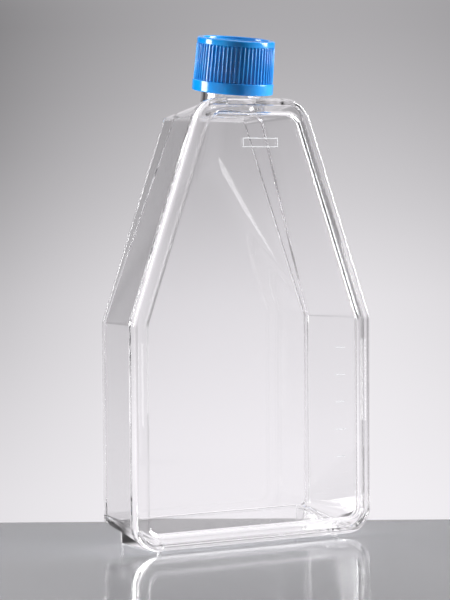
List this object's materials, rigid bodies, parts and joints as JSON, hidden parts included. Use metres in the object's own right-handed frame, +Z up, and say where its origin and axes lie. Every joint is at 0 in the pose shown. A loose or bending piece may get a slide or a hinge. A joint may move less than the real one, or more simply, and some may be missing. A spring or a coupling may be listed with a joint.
{
  "type": "cell culture flask",
  "caption": "Flat clear cell culture flask standing on its end, with a tapered shoulder, a welded front plate, a canted neck and a ribbed blue screw cap.",
  "frame": {"origin": "on the bench under the middle of the whole width and depth, in the plane of the undersides of the two foot ribs", "axes": "+Z up along the flask towards its cap, -Y out of the front plate, +X across the width"},
  "size_m": [0.123, 0.0454, 0.2281],
  "materials": {
    "clear_plastic": "clear, polished",
    "cap_blue": "smooth, slightly glossy",
    "liner": "satin"
  },
  "bodies": {
    "flask": {"flask_body": "clear_plastic", "top_plate": "clear_plastic"},
    "seal": {"cap_liner": "liner"},
    "cap": {"screw_cap": "cap_blue"}
  },
  "joints": [
    {"name": "cap_lift", "type": "slide", "parent": "flask", "child": "seal", "axis": [0, -0.1564, 0.9877], "range_m": [0, 0.0222]},
    {"name": "cap_turn", "type": "hinge", "parent": "seal", "child": "cap", "pos_m": [0, -0.00197, 0.202], "axis": [0, -0.1564, 0.9877], "range_deg": [0, 1440]}
  ],
  "couplings": [
    {"joint": "cap_lift", "follows": "cap_turn", "m_per_rad": 0.000875}
  ]
}
